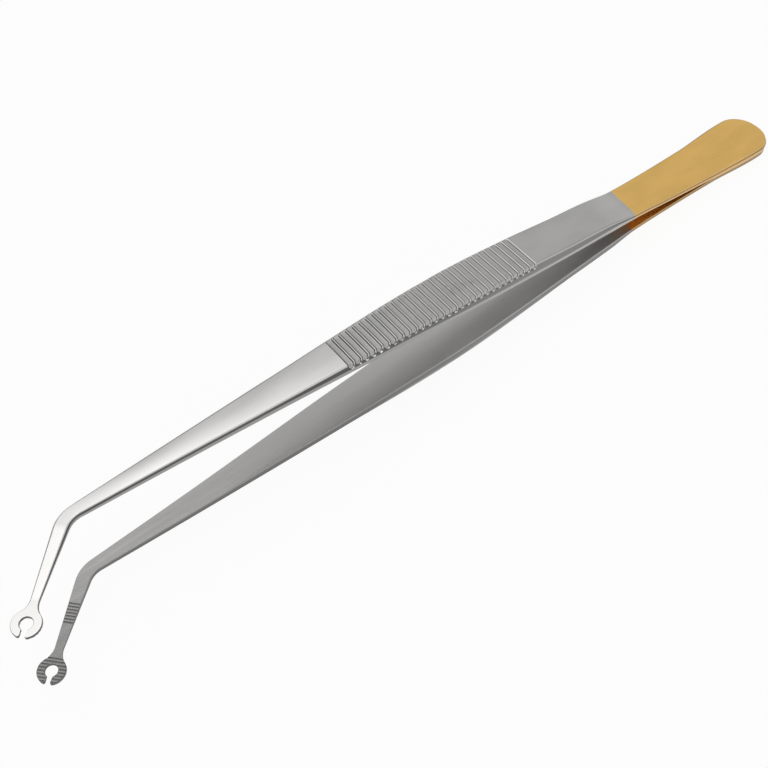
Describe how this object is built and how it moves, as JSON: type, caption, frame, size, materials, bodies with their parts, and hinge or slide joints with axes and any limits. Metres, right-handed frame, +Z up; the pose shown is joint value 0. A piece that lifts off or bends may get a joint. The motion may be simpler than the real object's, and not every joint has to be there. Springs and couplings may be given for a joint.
{
  "type": "thumb forceps",
  "caption": "Slender thumb forceps with gold-plated welded butt, cross-serrated finger grips and bent tips ending in small slotted rings.",
  "frame": {"origin": "bottom centre of the bounding box, on the surface that the forceps lie on", "axes": "+Z up, +X towards the welded butt, tips at -X and bent towards -Y"},
  "size_m": [0.1802, 0.02, 0.0234],
  "materials": {
    "steel": "satin stainless steel, the rear quarter gold plated"
  },
  "bodies": {
    "root": {"upper_arm": "steel", "lower_arm": "steel"}
  },
  "joints": []
}
